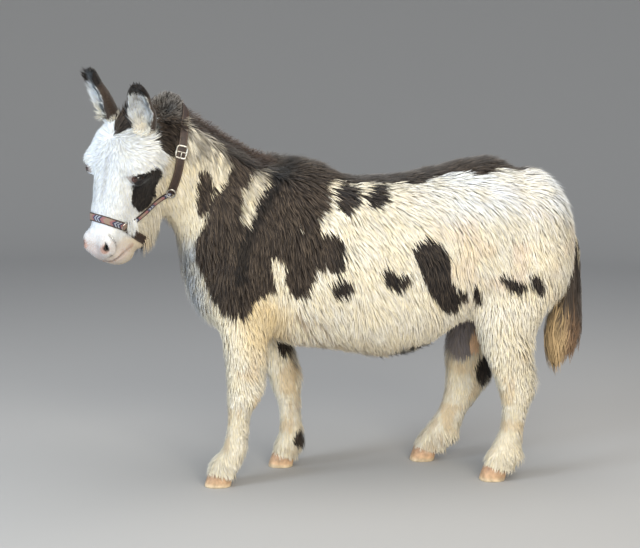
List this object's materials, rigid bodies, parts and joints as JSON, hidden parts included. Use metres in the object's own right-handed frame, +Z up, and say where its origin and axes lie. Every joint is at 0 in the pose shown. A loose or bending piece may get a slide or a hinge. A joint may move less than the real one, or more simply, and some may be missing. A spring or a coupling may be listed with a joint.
{
  "type": "miniature donkey",
  "caption": "Miniature donkey standing with its head turned, shaggy spotted winter coat, leather halter with rings and a buckle.",
  "frame": {"origin": "middle of the footprint of the whole donkey, on the ground", "axes": "the donkey faces -X with its left side towards -Y, +Z is up"},
  "size_m": [1.4274, 0.4906, 1.1659],
  "materials": {
    "coat": "long winter coat, cream with dark brown patches",
    "tail_hair": "long coarse hair, dark above and tan below",
    "eye": "wet dark brown",
    "hoof_horn": "bare pinkish tan horn with fine growth rings",
    "leather": "oiled brown leather, worn",
    "pattern_strap": "brown leather under a printed band of pink, cream and navy slants",
    "metal": "worn nickel plate"
  },
  "bodies": {
    "root": {"ear_left": "coat", "ear_right": "coat", "eye_left": "eye", "eye_right": "eye", "halter_buckle": "metal", "halter_cheek_left": "pattern_strap", "halter_cheek_right": "pattern_strap", "halter_chin_strap": "leather", "halter_crown": "leather", "halter_noseband": "pattern_strap", "halter_ring_cheek_left": "metal", "halter_ring_cheek_right": "metal", "halter_ring_nose_left": "metal", "halter_ring_nose_right": "metal", "head": "coat", "hoof_fore_left": "hoof_horn", "hoof_fore_right": "hoof_horn", "hoof_hind_left": "hoof_horn", "hoof_hind_right": "hoof_horn", "leg_fore_left_lower": "coat", "leg_fore_left_upper": "coat", "leg_fore_right_lower": "coat", "leg_fore_right_upper": "coat", "leg_hind_left_lower": "coat", "leg_hind_left_upper": "coat", "leg_hind_right_lower": "coat", "leg_hind_right_upper": "coat", "neck": "coat", "tail": "tail_hair", "trunk": "coat"}
  },
  "joints": []
}
